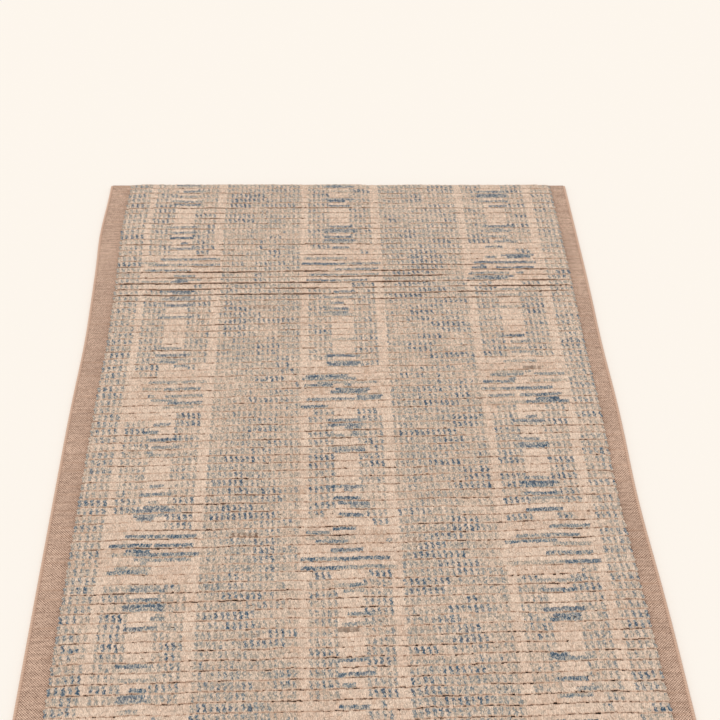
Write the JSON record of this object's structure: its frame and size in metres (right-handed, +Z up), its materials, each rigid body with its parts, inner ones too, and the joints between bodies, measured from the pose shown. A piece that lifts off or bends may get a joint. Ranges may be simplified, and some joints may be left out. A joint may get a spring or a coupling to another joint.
{
  "type": "runner rug",
  "caption": "Long narrow hand-knotted wool runner rug with ridged pile, a broken nested-square pattern, flat-woven side bands, rolled edge cords and turned-under ends.",
  "frame": {"origin": "middle of the underside, on the floor: the centre of the bounding box in plan, at its bottom", "axes": "+X across the rug to the right, +Y along the rug to its far end, +Z up out of the pile"},
  "size_m": [0.762, 2.438, 0.011],
  "materials": {
    "pile_wool": "cut wool pile, matte, sand and indigo knots",
    "band_yarn": "plain weave, matte",
    "edge_yarn": "twisted yarn wound over a cord, matte",
    "ground_cotton": "cotton foundation with the backs of the knots, matte",
    "hem_thread": "waxed linen thread"
  },
  "bodies": {
    "root": {"ground_weave": "ground_cotton", "selvedge_band_left": "band_yarn", "selvedge_band_right": "band_yarn", "edge_cord_left": "edge_yarn", "edge_cord_right": "edge_yarn", "end_web_far": "band_yarn", "end_web_near": "band_yarn", "hem_stitches_far": "hem_thread", "hem_stitches_near": "hem_thread", "pile_far_end": "pile_wool", "pile_repeat_1": "pile_wool", "pile_repeat_2": "pile_wool", "pile_repeat_3": "pile_wool", "pile_repeat_4": "pile_wool", "pile_repeat_5": "pile_wool", "pile_repeat_6": "pile_wool", "pile_repeat_7": "pile_wool", "pile_repeat_8": "pile_wool", "pile_near_end": "pile_wool"}
  },
  "joints": []
}
